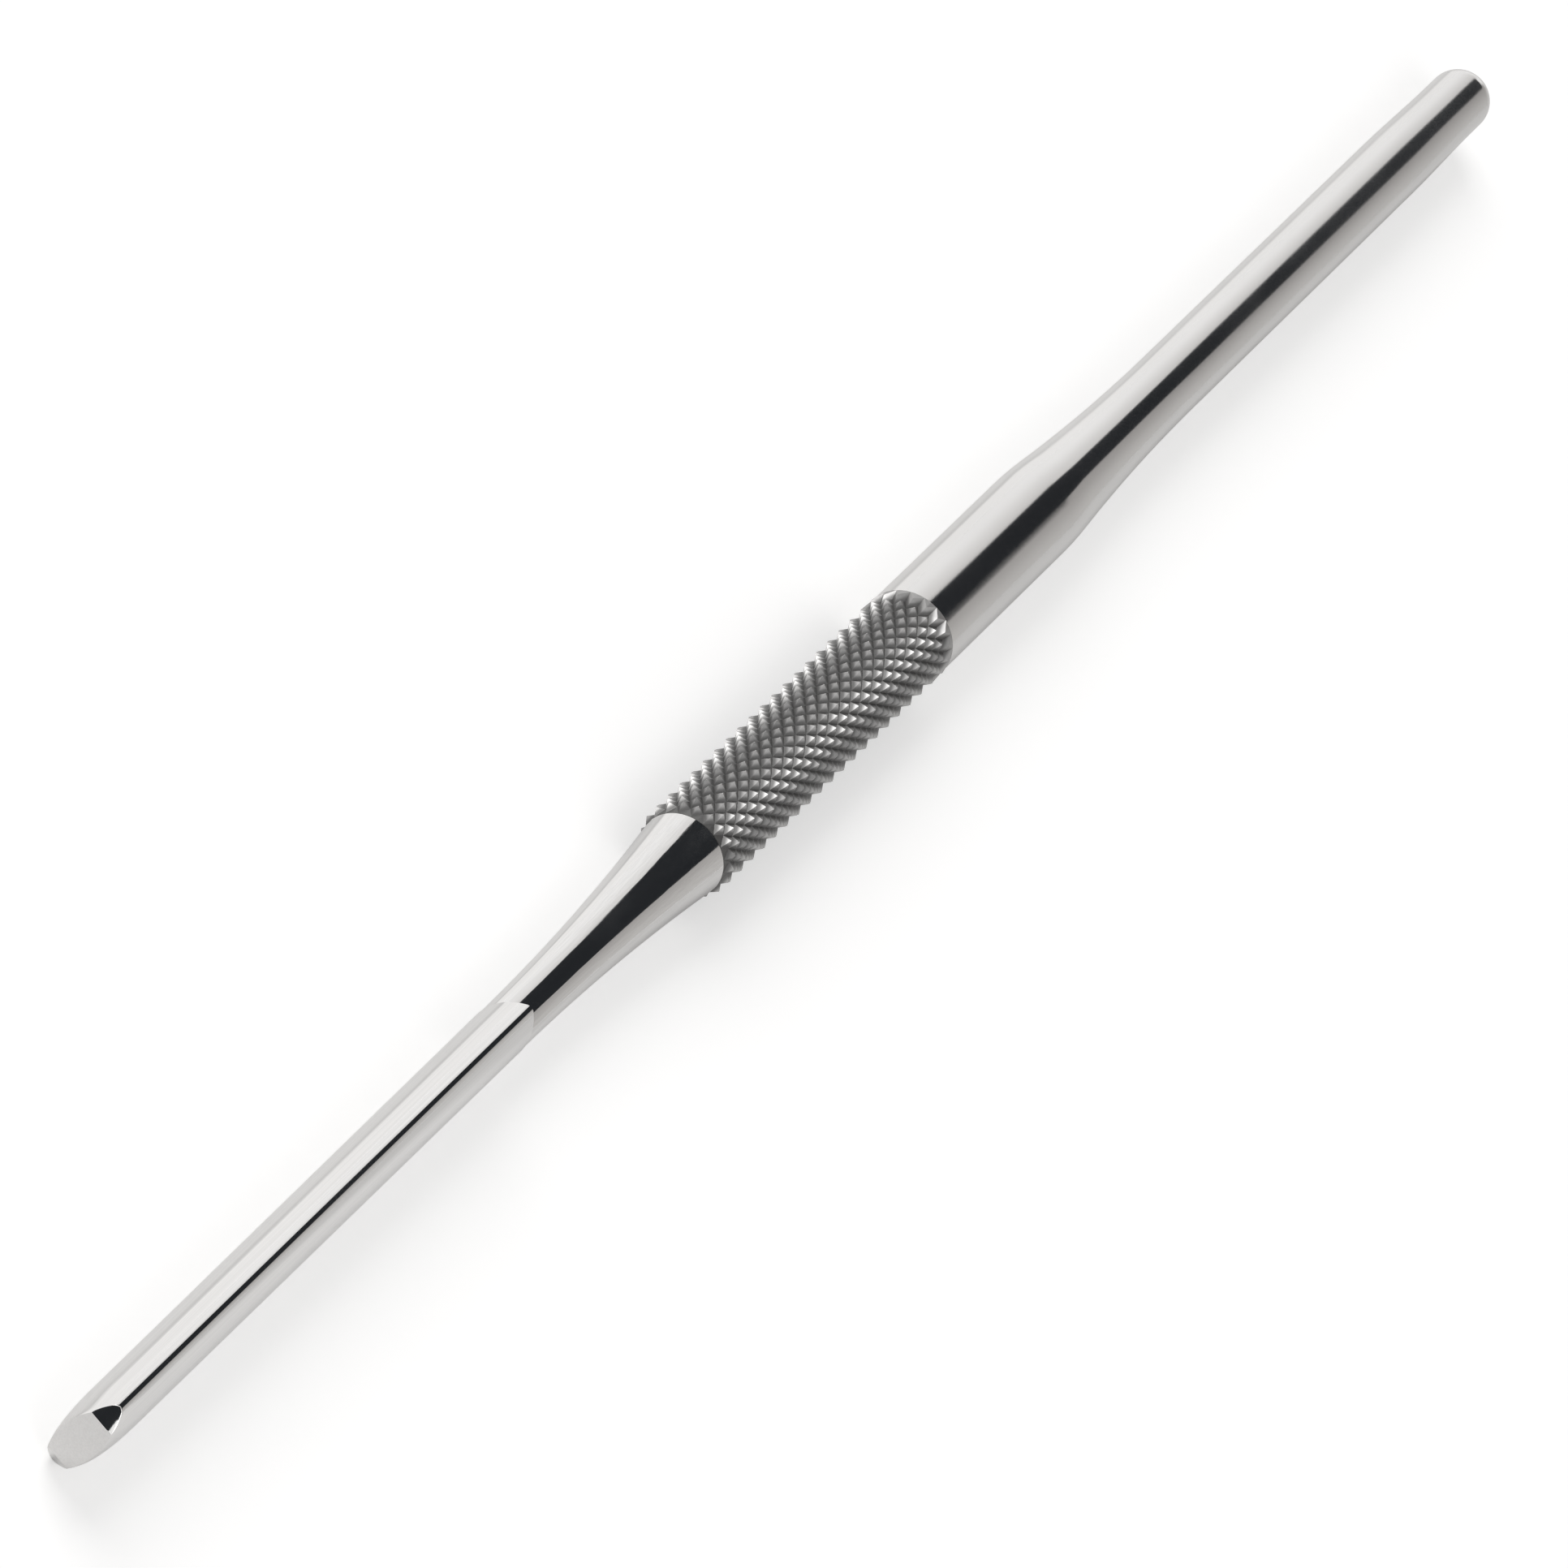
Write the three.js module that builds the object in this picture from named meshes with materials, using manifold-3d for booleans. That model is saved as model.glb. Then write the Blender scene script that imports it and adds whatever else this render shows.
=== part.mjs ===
// Cement spatula, a hand tool of polished steel in two pieces. The first is the blade, ground to the
// section of a lens, with its round neck and a tang. The second is a turned handle with a
// diamond-knurled grip, a plain collar, a long taper and a slim tail. The tang is pressed into the
// handle, and the seam lies where the neck meets the knurl.
// Millimetres. +X runs from the blade's tip to the end of the handle, and +Z is up. The tool lies on
// two rows of the knurl's crests, with the blade's long edges up and down.

import * as THREE from "three";
import { mergeVertices } from "three/addons/utils/BufferGeometryUtils.js";
import Module from "manifold-3d";

const wasm = await Module();
wasm.setup();

// Lengths along the tool
const BLADE_LENGTH = 46;
const NECK_LENGTH = 21.5;
const COLLAR_LENGTH = 15.5;
const TAPER_LENGTH = 18.8;
const TAIL_LENGTH = 43.2;

// Blade: two round faces that meet in two blunt edges
const BLADE_WIDTH = 5.5;
const BLADE_ROOT_THICKNESS = 2.94;
const BLADE_FRONT_THICKNESS = 2.78;
const BLADE_EDGE_RADIUS = 0.38;
const BLADE_REAR_BREAK = 0.12;

// Tip: a flat end face with its two corners ground off, and both faces drawn in towards it
const TIP_FACE_THICKNESS = 2.1;
const TIP_FACE_WIDTH = 3.55;
const TIP_CORNER_DEPTH = 0.75;
const TIP_DRAW_IN_LENGTH = 3.7;

// Neck and tang
const NECK_ROOT_DIAMETER = 2.88;
const TANG_DIAMETER = 2.6;
const TANG_LENGTH = 14;
const TANG_CHAMFER = 0.4;

// Grip: male diamond knurl, two crossed families of V-shaped grooves
const GRIP_DIAMETER = 5.6;
const KNURL_STARTS = 20;
const KNURL_PITCH = 1.4;
const KNURL_PITCHES = 20;
const KNURL_DEPTH = 0.34;

// Handle behind the grip
const COLLAR_DIAMETER = 5.4;
const TAPER_CROWN_RADIUS = 40;
const TAIL_DIAMETER = 4;
const TAIL_END_DIAMETER = 3.76;
const TAIL_EASE_START = 31;
const TAIL_EASE_LENGTH = 9;

// Socket in the handle for the tang
const SOCKET_CLEARANCE = 0.05;
const SOCKET_END_GAP = 0.5;
const SOCKET_MOUTH_CHAMFER = 0.3;
const DRILL_POINT_ANGLE = THREE.MathUtils.degToRad(118);

// How finely round forms are divided
const QUADRANT_EDGE_STEPS = 3;
const QUADRANT_FACE_STEPS = 8;
const DRAW_IN_STEPS = 7;
const BLADE_STEPS = 4;
const NECK_STEPS = 14;
const TAPER_ARC_STEPS = 6;
const EASE_STEPS = 5;
const END_STEPS = 7;
const ROUND_STEPS = 4 * (QUADRANT_EDGE_STEPS + QUADRANT_FACE_STEPS);
const GRIP_STEPS = 2 * KNURL_STARTS;

// Places along the tool, from the middle of its length
const GRIP_LENGTH = KNURL_PITCH * KNURL_PITCHES;
const FRONT_LENGTH = BLADE_LENGTH + NECK_LENGTH;
const BACK_LENGTH = GRIP_LENGTH + COLLAR_LENGTH + TAPER_LENGTH + TAIL_LENGTH;
const TIP_X = -(FRONT_LENGTH + BACK_LENGTH) / 2;
const NECK_X = TIP_X + BLADE_LENGTH;
const GRIP_X = NECK_X + NECK_LENGTH;
const COLLAR_X = GRIP_X + GRIP_LENGTH;
const TAPER_X = COLLAR_X + COLLAR_LENGTH;
const TAIL_X = TAPER_X + TAPER_LENGTH;
const END_X = TAIL_X + TAIL_LENGTH;

const CREST_RADIUS = GRIP_DIAMETER / 2;
const ROOT_RADIUS = CREST_RADIUS - KNURL_DEPTH;
const SOCKET_RADIUS = TANG_DIAMETER / 2 + SOCKET_CLEARANCE;
// The tool rests on the lower two rows of crests, unless a wider piece keeps them off the surface.
const AXIS_HEIGHT = Math.max(
  CREST_RADIUS * Math.cos(Math.PI / GRIP_STEPS),
  COLLAR_DIAMETER / 2,
  BLADE_WIDTH / 2,
);

// Skins a row of rings, each with the same number of points. The first and last entries are single
// points on the axis. The cells' diagonals alternate, so they follow the grooves of the knurl.
function skin(rings) {
  const points = rings.flat();
  const starts = [];
  let count = 0;
  for (const ring of rings) {
    starts.push(count);
    count += ring.length;
  }
  const steps = rings[1].length;
  const index = [];
  for (let j = 0; j < rings.length - 1; j += 1) {
    for (let k = 0; k < steps; k += 1) {
      const next = (k + 1) % steps;
      const a = starts[j] + (rings[j].length === 1 ? 0 : k);
      const b = starts[j] + (rings[j].length === 1 ? 0 : next);
      const c = starts[j + 1] + (rings[j + 1].length === 1 ? 0 : next);
      const d = starts[j + 1] + (rings[j + 1].length === 1 ? 0 : k);
      if (a === b) index.push(a, c, d);
      else if (c === d) index.push(a, b, c);
      else if ((j + k) % 2 === 0) index.push(a, b, c, a, c, d);
      else index.push(a, b, d, b, c, d);
    }
  }
  const geometry = new THREE.BufferGeometry().setFromPoints(points);
  geometry.setIndex(index);
  return geometry;
}

// A ring of the handle at x. The steps start half a step round, so that two rows lie side by side
// at the bottom. radius is a number, or a function of the step.
function handleRing(x, radius) {
  const ring = [];
  for (let k = 0; k < GRIP_STEPS; k += 1) {
    const angle = ((k + 0.5) / GRIP_STEPS) * 2 * Math.PI;
    const r = typeof radius === "function" ? radius(k) : radius;
    ring.push(new THREE.Vector3(x, r * Math.cos(angle), r * Math.sin(angle)));
  }
  return ring;
}

function onAxis(x) {
  return [new THREE.Vector3(x, 0, 0)];
}

// The blind socket, from its drilled bottom to its chamfered mouth.
function socketRings() {
  const wallEnd = GRIP_X + TANG_LENGTH + SOCKET_END_GAP;
  const drillPoint = SOCKET_RADIUS / Math.tan(DRILL_POINT_ANGLE / 2);
  return [
    onAxis(wallEnd + drillPoint),
    handleRing(wallEnd, SOCKET_RADIUS),
    handleRing(GRIP_X + SOCKET_MOUTH_CHAMFER, SOCKET_RADIUS),
    handleRing(GRIP_X, SOCKET_RADIUS + SOCKET_MOUTH_CHAMFER),
  ];
}

// The knurl: a crest and a pit take turns round each ring and along each row, half a pitch apart.
// The grooves run from pit to pit. The first ring is the handle's front edge, level with the neck,
// and the last is the edge of the collar, where the grooves run out.
function knurlRings(firstIndex) {
  const rings = [handleRing(GRIP_X, ROOT_RADIUS)];
  const halfPitches = 2 * KNURL_PITCHES;
  for (let j = 1; j < halfPitches; j += 1) {
    const radius = (k) => ((firstIndex + j + k) % 2 === 0 ? ROOT_RADIUS : CREST_RADIUS);
    rings.push(handleRing(GRIP_X + (j * KNURL_PITCH) / 2, radius));
  }
  rings.push(handleRing(COLLAR_X, COLLAR_DIAMETER / 2));
  return rings;
}

// The taper: a crown arc that leaves the collar, then a hollow arc that runs into the tail.
function taperRings() {
  const drop = (COLLAR_DIAMETER - TAIL_DIAMETER) / 2;
  const turn = 2 * Math.atan(drop / TAPER_LENGTH);
  const bothRadii = drop === 0 ? 0 : TAPER_LENGTH / Math.sin(turn);
  const crown = Math.min(TAPER_CROWN_RADIUS, Math.abs(bothRadii) / 2) * Math.sign(drop);
  const hollow = bothRadii - crown;
  const rings = [];
  for (let i = 0; i <= TAPER_ARC_STEPS; i += 1) {
    const angle = (turn * i) / TAPER_ARC_STEPS;
    const x = TAPER_X + crown * Math.sin(angle);
    rings.push(handleRing(x, COLLAR_DIAMETER / 2 - crown * (1 - Math.cos(angle))));
  }
  for (let i = TAPER_ARC_STEPS - 1; i >= 0; i -= 1) {
    const angle = (turn * i) / TAPER_ARC_STEPS;
    const x = TAIL_X - hollow * Math.sin(angle);
    rings.push(handleRing(x, TAIL_DIAMETER / 2 + hollow * (1 - Math.cos(angle))));
  }
  return rings;
}

// The tail: straight, then eased in a little, with a round end.
function tailRings() {
  const endRadius = TAIL_END_DIAMETER / 2;
  const rings = [];
  for (let i = 0; i <= EASE_STEPS; i += 1) {
    const share = i / EASE_STEPS;
    const eased = (1 - Math.cos(share * Math.PI)) / 2;
    const radius = THREE.MathUtils.lerp(TAIL_DIAMETER / 2, endRadius, eased);
    rings.push(handleRing(TAIL_X + TAIL_EASE_START + share * TAIL_EASE_LENGTH, radius));
  }
  for (let i = 0; i < END_STEPS; i += 1) {
    const angle = (i / END_STEPS) * (Math.PI / 2);
    rings.push(handleRing(END_X - endRadius * (1 - Math.sin(angle)), endRadius * Math.cos(angle)));
  }
  rings.push(onAxis(END_X));
  return rings;
}

function handleGeometry() {
  const socket = socketRings();
  const rings = [...socket, ...knurlRings(socket.length), ...taperRings(), ...tailRings()];
  return skin(rings);
}

// A quarter of the blade's outline, from the middle of an edge to the middle of a face. The edge is
// an arc, and the face is a larger arc that runs on from it without a corner.
function lensQuarter(halfWidth, halfThickness) {
  const edge = Math.min(BLADE_EDGE_RADIUS, halfThickness * 0.9);
  const edgeCentre = halfWidth - edge;
  const face = (edgeCentre ** 2 + halfThickness ** 2 - edge ** 2) / (2 * (halfThickness - edge));
  const faceCentre = halfThickness - face;
  const turn = Math.atan2(-faceCentre, edgeCentre);
  const points = [];
  for (let i = 0; i < QUADRANT_EDGE_STEPS; i += 1) {
    const angle = (turn * i) / QUADRANT_EDGE_STEPS;
    points.push([edge * Math.sin(angle), edgeCentre + edge * Math.cos(angle)]);
  }
  for (let i = 0; i < QUADRANT_FACE_STEPS; i += 1) {
    const angle = turn + ((Math.PI / 2 - turn) * i) / QUADRANT_FACE_STEPS;
    points.push([faceCentre + face * Math.sin(angle), face * Math.cos(angle)]);
  }
  return points;
}

// The whole outline of the blade at x, by mirroring the quarter.
function bladeRing(x, thickness, inset = 0) {
  const quarter = lensQuarter(BLADE_WIDTH / 2 - inset, thickness / 2 - inset);
  const middle = [thickness / 2 - inset, 0];
  const half = [...quarter, middle, ...quarter.slice(1).reverse().map(([y, z]) => [y, -z])];
  const otherHalf = half.map(([y, z]) => [-y, -z]);
  return [...half, ...otherHalf].map(([y, z]) => new THREE.Vector3(x, -y, z));
}

// The blade's thickness a distance behind the tip. Near the tip it is drawn in along a quarter of an
// ellipse, and from there to the neck it grows evenly.
function bladeThickness(distance) {
  if (distance < TIP_DRAW_IN_LENGTH) {
    const share = 1 - distance / TIP_DRAW_IN_LENGTH;
    const rise = Math.sqrt(1 - share ** 2);
    return THREE.MathUtils.lerp(TIP_FACE_THICKNESS, BLADE_FRONT_THICKNESS, rise);
  }
  const share = (distance - TIP_DRAW_IN_LENGTH) / (BLADE_LENGTH - TIP_DRAW_IN_LENGTH);
  return THREE.MathUtils.lerp(BLADE_FRONT_THICKNESS, BLADE_ROOT_THICKNESS, share);
}

function bladeGeometry() {
  const distances = [];
  for (let i = 0; i <= DRAW_IN_STEPS; i += 1) {
    const angle = (i / DRAW_IN_STEPS) * (Math.PI / 2);
    distances.push(TIP_DRAW_IN_LENGTH * (1 - Math.cos(angle)));
  }
  const straight = BLADE_LENGTH - BLADE_REAR_BREAK - TIP_DRAW_IN_LENGTH;
  for (let i = 1; i <= BLADE_STEPS; i += 1) {
    distances.push(TIP_DRAW_IN_LENGTH + (straight * i) / BLADE_STEPS);
  }
  const rings = distances.map((distance) => bladeRing(TIP_X + distance, bladeThickness(distance)));
  const rear = bladeRing(NECK_X, BLADE_ROOT_THICKNESS, BLADE_REAR_BREAK);
  return skin([onAxis(TIP_X), ...rings, rear, onAxis(NECK_X)]);
}

// The neck and tang, turned as one. The neck's outline is an arc that leaves the blade level with
// its faces and rises to the root of the knurl. It starts a little inside the blade.
function neckGeometry() {
  const rise = ROOT_RADIUS - NECK_ROOT_DIAMETER / 2;
  const arcRadius = (NECK_LENGTH ** 2 + rise ** 2) / (2 * rise);
  const turn = Math.asin(NECK_LENGTH / arcRadius);
  const tangRadius = TANG_DIAMETER / 2;
  const tangEnd = GRIP_X + TANG_LENGTH;
  const startX = NECK_X - NECK_ROOT_DIAMETER;
  const profile = [
    new THREE.Vector2(0, startX),
    new THREE.Vector2(NECK_ROOT_DIAMETER / 2, startX),
  ];
  for (let i = 0; i <= NECK_STEPS; i += 1) {
    const angle = (turn * i) / NECK_STEPS;
    const radius = NECK_ROOT_DIAMETER / 2 + arcRadius * (1 - Math.cos(angle));
    profile.push(new THREE.Vector2(radius, NECK_X + arcRadius * Math.sin(angle)));
  }
  profile.push(new THREE.Vector2(tangRadius, GRIP_X));
  profile.push(new THREE.Vector2(tangRadius, tangEnd - TANG_CHAMFER));
  profile.push(new THREE.Vector2(tangRadius - TANG_CHAMFER, tangEnd));
  profile.push(new THREE.Vector2(0, tangEnd));
  return new THREE.LatheGeometry(profile, ROUND_STEPS).rotateZ(-Math.PI / 2);
}

// A block whose one side is the plane that grinds off a corner of the tip. side is 1 at the upper
// edge and -1 at the lower one.
function cornerBlock(side) {
  const size = 4 * BLADE_WIDTH;
  const width = (BLADE_WIDTH - TIP_FACE_WIDTH) / 2;
  const slope = Math.atan2(TIP_CORNER_DEPTH, width);
  const block = new THREE.BoxGeometry(size, size, size).translate(-size / 2, 0, 0);
  block.rotateY(side * slope);
  return block.translate(TIP_X, 0, (side * TIP_FACE_WIDTH) / 2);
}

// Three.js geometry to a solid for joining and cutting, and back.
function toSolid(geometry) {
  const bare = geometry.clone();
  bare.deleteAttribute("normal");
  bare.deleteAttribute("uv");
  const merged = mergeVertices(bare, 1e-5);
  return new wasm.Manifold(
    new wasm.Mesh({
      numProp: 3,
      vertProperties: new Float32Array(merged.attributes.position.array),
      triVerts: new Uint32Array(merged.index.array),
    }),
  );
}

function toGeometry(solid) {
  const { vertProperties, triVerts } = solid.getMesh();
  const geometry = new THREE.BufferGeometry();
  geometry.setAttribute("position", new THREE.BufferAttribute(new Float32Array(vertProperties), 3));
  geometry.setIndex(new THREE.BufferAttribute(new Uint32Array(triVerts), 1));
  return geometry;
}

function bladeAndNeckGeometry() {
  const whole = toSolid(bladeGeometry()).add(toSolid(neckGeometry()));
  const ground = whole.subtract(toSolid(cornerBlock(1))).subtract(toSolid(cornerBlock(-1)));
  return toGeometry(ground);
}

const bladeSteel = new THREE.MeshStandardMaterial({ color: 0xdcdad8, roughness: 0.07, metalness: 1 });
const handleSteel = new THREE.MeshStandardMaterial({ color: 0xd2cfcc, roughness: 0.12, metalness: 1 });

function namedMesh(name, geometry, material) {
  const mesh = new THREE.Mesh(geometry, material);
  mesh.geometry.computeVertexNormals();
  mesh.name = name;
  return mesh;
}

const spatula = new THREE.Group();
spatula.add(namedMesh("blade_and_neck", bladeAndNeckGeometry(), bladeSteel));
spatula.add(namedMesh("knurled_handle", handleGeometry(), handleSteel));
spatula.position.z = AXIS_HEIGHT;

export default spatula;
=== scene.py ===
import math

import bmesh
import bpy
from mathutils import Matrix, Vector


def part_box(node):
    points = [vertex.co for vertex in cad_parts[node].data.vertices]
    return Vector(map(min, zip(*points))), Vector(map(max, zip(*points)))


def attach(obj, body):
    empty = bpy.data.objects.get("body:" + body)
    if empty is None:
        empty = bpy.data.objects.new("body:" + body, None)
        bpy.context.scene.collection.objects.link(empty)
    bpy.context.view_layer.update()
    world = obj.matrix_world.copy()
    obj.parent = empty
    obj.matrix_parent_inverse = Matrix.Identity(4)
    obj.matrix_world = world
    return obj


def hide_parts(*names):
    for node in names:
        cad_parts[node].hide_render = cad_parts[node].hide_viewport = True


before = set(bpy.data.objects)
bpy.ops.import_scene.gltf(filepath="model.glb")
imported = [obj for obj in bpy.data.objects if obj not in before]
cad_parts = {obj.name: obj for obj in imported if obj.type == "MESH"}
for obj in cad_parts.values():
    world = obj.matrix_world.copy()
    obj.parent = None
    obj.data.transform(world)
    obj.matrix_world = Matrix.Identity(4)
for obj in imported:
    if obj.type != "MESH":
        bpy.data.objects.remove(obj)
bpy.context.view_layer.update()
BLADE_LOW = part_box("blade_and_neck")[0]
HANDLE_LOW, HANDLE_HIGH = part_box("knurled_handle")

bl_info = {
    "name": "Cement spatula",
    "version": (1, 0, 0),
    "blender": (4, 5, 0),
    "location": "3D View > Sidebar > Spatula",
    "description": "Blade, neck, knurled grip and handle of a cement spatula, with its studio stage",
    "category": "Object",
}

MM = 0.001

# Places along the tool, read from the frame where it gives them
AXIS_HEIGHT = (HANDLE_LOW[2] + HANDLE_HIGH[2]) / 2
TIP_X = BLADE_LOW[0]
GRIP_X = HANDLE_LOW[0]
END_X = HANDLE_HIGH[0]

# Breaks on the sharp edges, the flats worn on the crests, and how far the neck runs into the blade
REAR_BREAK = 0.12 * MM
TIP_BREAK = 0.05 * MM
TIP_BREAK_REACH = 0.1 * MM
SEAM_BREAK = 0.05 * MM
SEAM_FALL = 0.005 * MM
CREST_FLAT = 0.035 * MM
NECK_OVERLAP = 1.2 * MM

# The largest share of half the thickness that the radius of a long edge takes
EDGE_LIMIT = 0.9

# The taper's first arc, and where behind the taper the tail eases to its end diameter
TAPER_CROWN_RADIUS = 40 * MM
TAIL_EASE_START = 31 * MM
TAIL_EASE_LENGTH = 9 * MM

# How finely round forms are divided, how close points are merged, and how far an edge has to turn
# to be a sharp one
LENS_EDGE_STEPS = 8
LENS_FACE_STEPS = 24
DRAW_IN_STEPS = 16
BLADE_STEPS = 12
NECK_STEPS = 48
NECK_ROUND_STEPS = 192
TAPER_ARC_STEPS = 24
EASE_STEPS = 16
END_STEPS = 24
SHAFT_ROUND_STEPS = 256
MERGE_DISTANCE = 0.001 * MM
SHARP_ANGLE = math.radians(30)
TIP_SHARP_ANGLE = math.radians(20)

# Half the floor's length, and its glow for the camera
FLOOR_REACH = 3
CAMERA_GLOW = 0.38

# The floor's glow in what the steel mirrors, and the shades that are taken off it, each as (from,
# to, amount at from, amount at to). The first three change with Y and the others with X. The far
# glow lies on the +Y side, away from the tool, and the near one next to the tool and on its -Y
# side. The handle's shade lies behind the blade, and its share with Y is HANDLE_SHADE_SIDE.
FAR_GLOW = (8 * MM, 10.5 * MM, 0.0, 0.34)
NEAR_GLOW = (5.5 * MM, 8 * MM, 0.12, 0.0)
HANDLE_SHADE_SIDE = (-3 * MM, 1 * MM, 1.0, 0.0)
HANDLE_SHADE = (-45 * MM, -20 * MM, 0.0, 0.13)
TIP_SHADE = (-92 * MM, -87 * MM, 0.04, 0.0)

# Cards across the tool's axis. A spoke is (radius, first angle, last angle), in metres and in
# degrees from upright to the -Y side, from a card's inner edge to its outer one.
DARK_CARD_X = 0.6
TONED_CARD_X = 0.62
BACK_CARD_X = -0.6
DARK_SPOKES = (
    (0.22, -22, 22),
    (0.40, -23, 25),
    (0.44, -26, 38),
    (0.48, -33, 37),
    (0.58, -34, 36),
    (0.67, -41, 39),
    (0.80, -46, 44),
    (1.10, -50, 46),
)
GREY_SPOKES = ((0.10, 20, 89), (1.2, 20, 89))
SOFT_SPOKES = ((0.10, -78, -20), (1.2, -78, -20))
BACK_SPOKES = ((0.25, -25, 12), (1.0, -30, 16))

# Tones of the two cards that change with the angle, and the angles between which they do
GREY_TONES = ((0.39, 0.378, 0.37), (0.56, 0.55, 0.54))
GREY_TURN = (24, 85)
SOFT_TONES = ((1.0, 1.0, 1.0), (0.76, 0.75, 0.745))
SOFT_TURN = (-78, -24)

# The card over the tool, as half its length, its two sides and its height, and the card before the
# tip, as its middle, half its width and half its height
TOP_CARD_HALF = 0.4
TOP_CARD_SIDES = (-0.16, 0.10)
TOP_CARD_HEIGHT = 0.8
FRONT_CARD_MIDDLE = Vector((-0.82, -0.03, 0.57)) * 1.2
FRONT_CARD_ACROSS = Vector((0, 0.3, 0))
FRONT_CARD_RISE = Vector((0.57, 0, 0.82)) * 0.3

# Light of the white air on matt things, and what the camera and the steel see of it besides
AIR_LIGHT = 0.45
AIR_SEEN = 0.55

# The photograph's view: the way to the camera, the roll, and how far the frame's middle lies off
# the point looked at, to the right and upwards
TO_CAMERA = Vector((-0.7986, 0.0535, 0.5996)).normalized()
CAMERA_ROLL = math.radians(44.28)
CAMERA_DISTANCE = 0.775
CAMERA_SHIFT = (-1.48 * MM, -2.95 * MM)
CAMERA_LENS = 332.7
SENSOR_WIDTH = 36
CAMERA_REACH = 20
LOOKED_AT = Vector((-3.1 * MM, 0, AXIS_HEIGHT))


class BladeSizes(bpy.types.PropertyGroup):
    """Sizes of the blade and the neck behind it."""

    length: bpy.props.FloatProperty(
        name="Blade length",
        description="From the tip face to the square shoulder",
        default=46 * MM,
        unit="LENGTH",
    )
    width: bpy.props.FloatProperty(
        name="Blade width",
        description="From one long edge to the other",
        default=5.5 * MM,
        unit="LENGTH",
    )
    root_thickness: bpy.props.FloatProperty(
        name="Thickness at the shoulder",
        description="Across the two faces, next to the neck",
        default=2.94 * MM,
        unit="LENGTH",
    )
    front_thickness: bpy.props.FloatProperty(
        name="Thickness behind the tip",
        description="Across the two faces, where the tip starts to draw in",
        default=2.78 * MM,
        unit="LENGTH",
    )
    tip_thickness: bpy.props.FloatProperty(
        name="Tip face thickness",
        description="Across the flat face at the tip",
        default=2.1 * MM,
        unit="LENGTH",
    )
    tip_width: bpy.props.FloatProperty(
        name="Tip face width",
        description="Along the flat face, between the two ground corners",
        default=3.55 * MM,
        unit="LENGTH",
    )
    corner_depth: bpy.props.FloatProperty(
        name="Corner depth",
        description="How far each ground corner reaches back along the edge",
        default=0.75 * MM,
        unit="LENGTH",
    )
    draw_in: bpy.props.FloatProperty(
        name="Draw-in length",
        description="How far behind the tip the faces start to round in",
        default=3.7 * MM,
        unit="LENGTH",
    )
    edge_radius: bpy.props.FloatProperty(
        name="Edge radius",
        description="Roundness of the long edges",
        default=0.38 * MM,
        unit="LENGTH",
    )
    neck_diameter: bpy.props.FloatProperty(
        name="Neck diameter",
        description="Across the neck where it leaves the blade",
        default=2.88 * MM,
        unit="LENGTH",
    )
    steel: bpy.props.FloatVectorProperty(
        name="Blade steel",
        description="Colour of the polished steel",
        default=(0.80, 0.79, 0.78),
        size=3,
        subtype="COLOR",
    )


class HandleSizes(bpy.types.PropertyGroup):
    """Sizes of the knurled grip and the plain handle behind it."""

    grip_diameter: bpy.props.FloatProperty(
        name="Grip diameter",
        description="Across the crests of the knurl",
        default=5.6 * MM,
        unit="LENGTH",
    )
    starts: bpy.props.IntProperty(
        name="Knurl starts",
        description="Crests round the grip",
        default=20,
        min=8,
    )
    pitch: bpy.props.FloatProperty(
        name="Knurl pitch",
        description="From one crest to the next along the grip",
        default=1.4 * MM,
        unit="LENGTH",
    )
    pitches: bpy.props.IntProperty(
        name="Knurl pitches",
        description="Crests along the grip",
        default=20,
        min=2,
    )
    knurl_depth: bpy.props.FloatProperty(
        name="Knurl depth",
        description="From the crests down to the pits",
        default=0.34 * MM,
        unit="LENGTH",
    )
    collar_diameter: bpy.props.FloatProperty(
        name="Collar diameter",
        description="Across the plain part next to the knurl",
        default=5.4 * MM,
        unit="LENGTH",
    )
    collar_length: bpy.props.FloatProperty(
        name="Collar length",
        description="Of the plain part next to the knurl",
        default=15.5 * MM,
        unit="LENGTH",
    )
    taper_length: bpy.props.FloatProperty(
        name="Taper length",
        description="From the collar to the slim tail",
        default=18.8 * MM,
        unit="LENGTH",
    )
    tail_diameter: bpy.props.FloatProperty(
        name="Tail diameter",
        description="Across the slim tail",
        default=4.0 * MM,
        unit="LENGTH",
    )
    tail_end_diameter: bpy.props.FloatProperty(
        name="Tail end diameter",
        description="Across the tail just before its round end",
        default=3.76 * MM,
        unit="LENGTH",
    )
    steel: bpy.props.FloatVectorProperty(
        name="Handle steel",
        description="Colour of the turned steel",
        default=(0.77, 0.76, 0.75),
        size=3,
        subtype="COLOR",
    )


class StageSizes(bpy.types.PropertyGroup):
    """Colours and lamps of the stage round the tool."""

    floor: bpy.props.FloatVectorProperty(
        name="Floor",
        description="Colour of the pale floor",
        default=(0.75, 0.745, 0.74),
        size=3,
        subtype="COLOR",
    )
    card: bpy.props.FloatVectorProperty(
        name="Dark card",
        description="Colour of the card that gives the steel its dark band",
        default=(0.02, 0.022, 0.025),
        size=3,
        subtype="COLOR",
    )
    key_power: bpy.props.FloatProperty(
        name="Key lamp",
        description="Power of the lamp on the +Y side",
        default=8.0,
        unit="POWER",
    )
    fill_power: bpy.props.FloatProperty(
        name="Fill lamp",
        description="Power of the lamp on the -Y side",
        default=3.3,
        unit="POWER",
    )


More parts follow.
